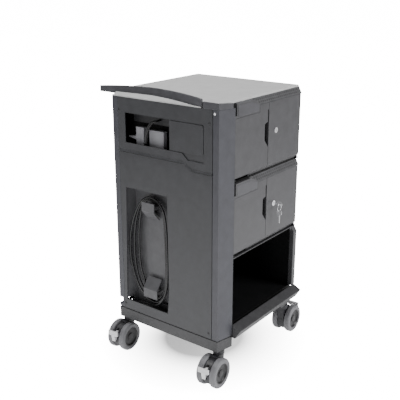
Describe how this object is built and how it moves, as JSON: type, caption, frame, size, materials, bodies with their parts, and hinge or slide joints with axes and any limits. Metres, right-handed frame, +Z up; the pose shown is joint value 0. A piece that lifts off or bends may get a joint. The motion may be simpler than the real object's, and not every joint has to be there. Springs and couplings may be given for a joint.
{
  "type": "charging and storage cart",
  "caption": "Cart on swivel casters: lockable double-door cabinets over an open bay, beside a service column with adapter window and wound mains cord.",
  "frame": {"origin": "bottom centre of the whole cart, on the floor", "axes": "+Z up, doors face -Y, service column on the -X side"},
  "size_m": [0.657, 0.6026, 1.043],
  "materials": {
    "front_panels": "satin, fine grain",
    "vent_panels": "satin",
    "blank_labels": "satin",
    "side_panels": "satin, fine grain",
    "column_corner": "satin",
    "shell_steel": "matt black powder coat",
    "base_moulding": "satin",
    "recess_moulding": "satin",
    "worktop_laminate": "satin, fine texture",
    "edge_rail": "satin",
    "bright_steel": "polished",
    "screw_black": "black",
    "adapter_shell": "satin",
    "black_plastic": "satin",
    "cord_jacket": "satin",
    "tyre_grey": "matt",
    "hub_dark": "satin",
    "caster_black": "satin",
    "pedal_white": "gloss"
  },
  "bodies": {
    "root": {"base_chassis": "base_moulding", "caster_bushes": "bright_steel", "front_bumper": "base_moulding", "corner_post": "column_corner", "rear_post": "column_corner", "column_frame": "shell_steel", "lower_side_panel": "side_panels", "upper_side_cover": "side_panels", "cord_recess_tray": "recess_moulding", "cord_cleats": "recess_moulding", "power_shelf": "shell_steel", "outlet_strip": "black_plastic", "power_adapters": "adapter_shell", "adapter_leads": "cord_jacket", "upper_cabinet": "shell_steel", "middle_cabinet": "shell_steel", "bay_shell": "shell_steel", "bay_frame": "front_panels", "rear_panel": "side_panels", "worktop_rail": "edge_rail", "worktop": "worktop_laminate", "corner_cap": "edge_rail", "mains_cord_lead": "cord_jacket", "mains_cord_coil": "cord_jacket", "mains_plug": "black_plastic", "cord_gland": "black_plastic", "cord_strain_relief": "black_plastic", "door_fascias": "front_panels", "vent_grilles": "vent_panels", "hinge_lugs": "shell_steel", "hinge_pins": "bright_steel", "label_blanks": "blank_labels", "device_dividers": "shell_steel", "panel_screws": "screw_black"},
    "slide_cover": {"slide_cover": "side_panels"},
    "upper_lock": {"upper_lock": "bright_steel"},
    "middle_lock": {"middle_lock": "bright_steel", "door_key": "bright_steel"},
    "spare_keys": {"key_ring": "bright_steel", "spare_key": "bright_steel"},
    "upper_left_door": {"upper_left_door": "front_panels"},
    "upper_right_door": {"upper_right_door": "front_panels"},
    "middle_left_door": {"middle_left_door": "front_panels"},
    "middle_right_door": {"middle_right_door": "front_panels"},
    "caster_fl": {"caster_hood_fl": "caster_black"},
    "wheels_fl": {"caster_tyres_fl": "tyre_grey", "caster_hubs_fl": "hub_dark"},
    "pedal_fl": {"caster_pedal_fl": "pedal_white"},
    "caster_rl": {"caster_hood_rl": "caster_black"},
    "wheels_rl": {"caster_tyres_rl": "tyre_grey", "caster_hubs_rl": "hub_dark"},
    "pedal_rl": {"caster_pedal_rl": "pedal_white"},
    "caster_fr": {"caster_hood_fr": "caster_black"},
    "wheels_fr": {"caster_tyres_fr": "tyre_grey", "caster_hubs_fr": "hub_dark"},
    "pedal_fr": {"caster_pedal_fr": "pedal_white"},
    "caster_rr": {"caster_hood_rr": "caster_black"},
    "wheels_rr": {"caster_tyres_rr": "tyre_grey", "caster_hubs_rr": "hub_dark"},
    "pedal_rr": {"caster_pedal_rr": "pedal_white"}
  },
  "joints": [
    {"name": "slide_cover_slide", "type": "slide", "parent": "root", "child": "slide_cover", "axis": [0, 1, 0], "range_m": [0, 0.202]},
    {"name": "upper_left_door_hinge", "type": "hinge", "parent": "root", "child": "upper_left_door", "pos_m": [-0.176, -0.25715, 0.864], "axis": [0, 0, -1], "range_deg": [0, 90]},
    {"name": "upper_right_door_hinge", "type": "hinge", "parent": "root", "child": "upper_right_door", "pos_m": [0.2475, -0.25715, 0.864], "axis": [0, 0, 1], "range_deg": [0, 110]},
    {"name": "upper_lock_turn", "type": "hinge", "parent": "upper_right_door", "child": "upper_lock", "pos_m": [0.0765, -0.26315, 0.884], "axis": [0, 1, 0], "range_deg": [0, 90]},
    {"name": "middle_left_door_hinge", "type": "hinge", "parent": "root", "child": "middle_left_door", "pos_m": [-0.176, -0.25715, 0.589], "axis": [0, 0, -1], "range_deg": [0, 90]},
    {"name": "middle_right_door_hinge", "type": "hinge", "parent": "root", "child": "middle_right_door", "pos_m": [0.2475, -0.25715, 0.589], "axis": [0, 0, 1], "range_deg": [0, 110]},
    {"name": "middle_lock_turn", "type": "hinge", "parent": "middle_right_door", "child": "middle_lock", "pos_m": [0.0765, -0.26315, 0.609], "axis": [0, 1, 0], "range_deg": [0, 90]},
    {"name": "spare_keys_swing", "type": "hinge", "parent": "middle_lock", "child": "spare_keys", "pos_m": [0.0765, -0.29015, 0.609], "axis": [1, 0, 0], "range_deg": [-45, 15]},
    {"name": "caster_fl_swivel", "type": "hinge", "parent": "root", "child": "caster_fl", "pos_m": [-0.2235, -0.23675, 0.13], "axis": [0, 0, 1], "continuous": true},
    {"name": "wheels_fl_spin", "type": "hinge", "parent": "caster_fl", "child": "wheels_fl", "pos_m": [-0.25945, -0.23863, 0.056], "axis": [-0.0523, 0.9986, 0], "continuous": true},
    {"name": "pedal_fl_press", "type": "hinge", "parent": "caster_fl", "child": "pedal_fl", "pos_m": [-0.2984, -0.24068, 0.08], "axis": [0.0523, -0.9986, 0], "range_deg": [0, 12]},
    {"name": "caster_rl_swivel", "type": "hinge", "parent": "root", "child": "caster_rl", "pos_m": [-0.2235, 0.20125, 0.13], "axis": [0, 0, 1], "continuous": true},
    {"name": "wheels_rl_spin", "type": "hinge", "parent": "caster_rl", "child": "wheels_rl", "pos_m": [-0.25945, 0.19937, 0.056], "axis": [-0.0523, 0.9986, 0], "continuous": true},
    {"name": "pedal_rl_press", "type": "hinge", "parent": "caster_rl", "child": "pedal_rl", "pos_m": [-0.2984, 0.19733, 0.08], "axis": [0.0523, -0.9986, 0], "range_deg": [0, 12]},
    {"name": "caster_fr_swivel", "type": "hinge", "parent": "root", "child": "caster_fr", "pos_m": [0.2235, -0.23675, 0.13], "axis": [0, 0, 1], "continuous": true},
    {"name": "wheels_fr_spin", "type": "hinge", "parent": "caster_fr", "child": "wheels_fr", "pos_m": [0.25945, -0.23487, 0.056], "axis": [0.0523, -0.9986, 0], "continuous": true},
    {"name": "pedal_fr_press", "type": "hinge", "parent": "caster_fr", "child": "pedal_fr", "pos_m": [0.2984, -0.23283, 0.08], "axis": [-0.0523, 0.9986, 0], "range_deg": [0, 12]},
    {"name": "caster_rr_swivel", "type": "hinge", "parent": "root", "child": "caster_rr", "pos_m": [0.2235, 0.20125, 0.13], "axis": [0, 0, 1], "continuous": true},
    {"name": "wheels_rr_spin", "type": "hinge", "parent": "caster_rr", "child": "wheels_rr", "pos_m": [0.25945, 0.20313, 0.056], "axis": [0.0523, -0.9986, 0], "continuous": true},
    {"name": "pedal_rr_press", "type": "hinge", "parent": "caster_rr", "child": "pedal_rr", "pos_m": [0.2984, 0.20517, 0.08], "axis": [-0.0523, 0.9986, 0], "range_deg": [0, 12]}
  ]
}
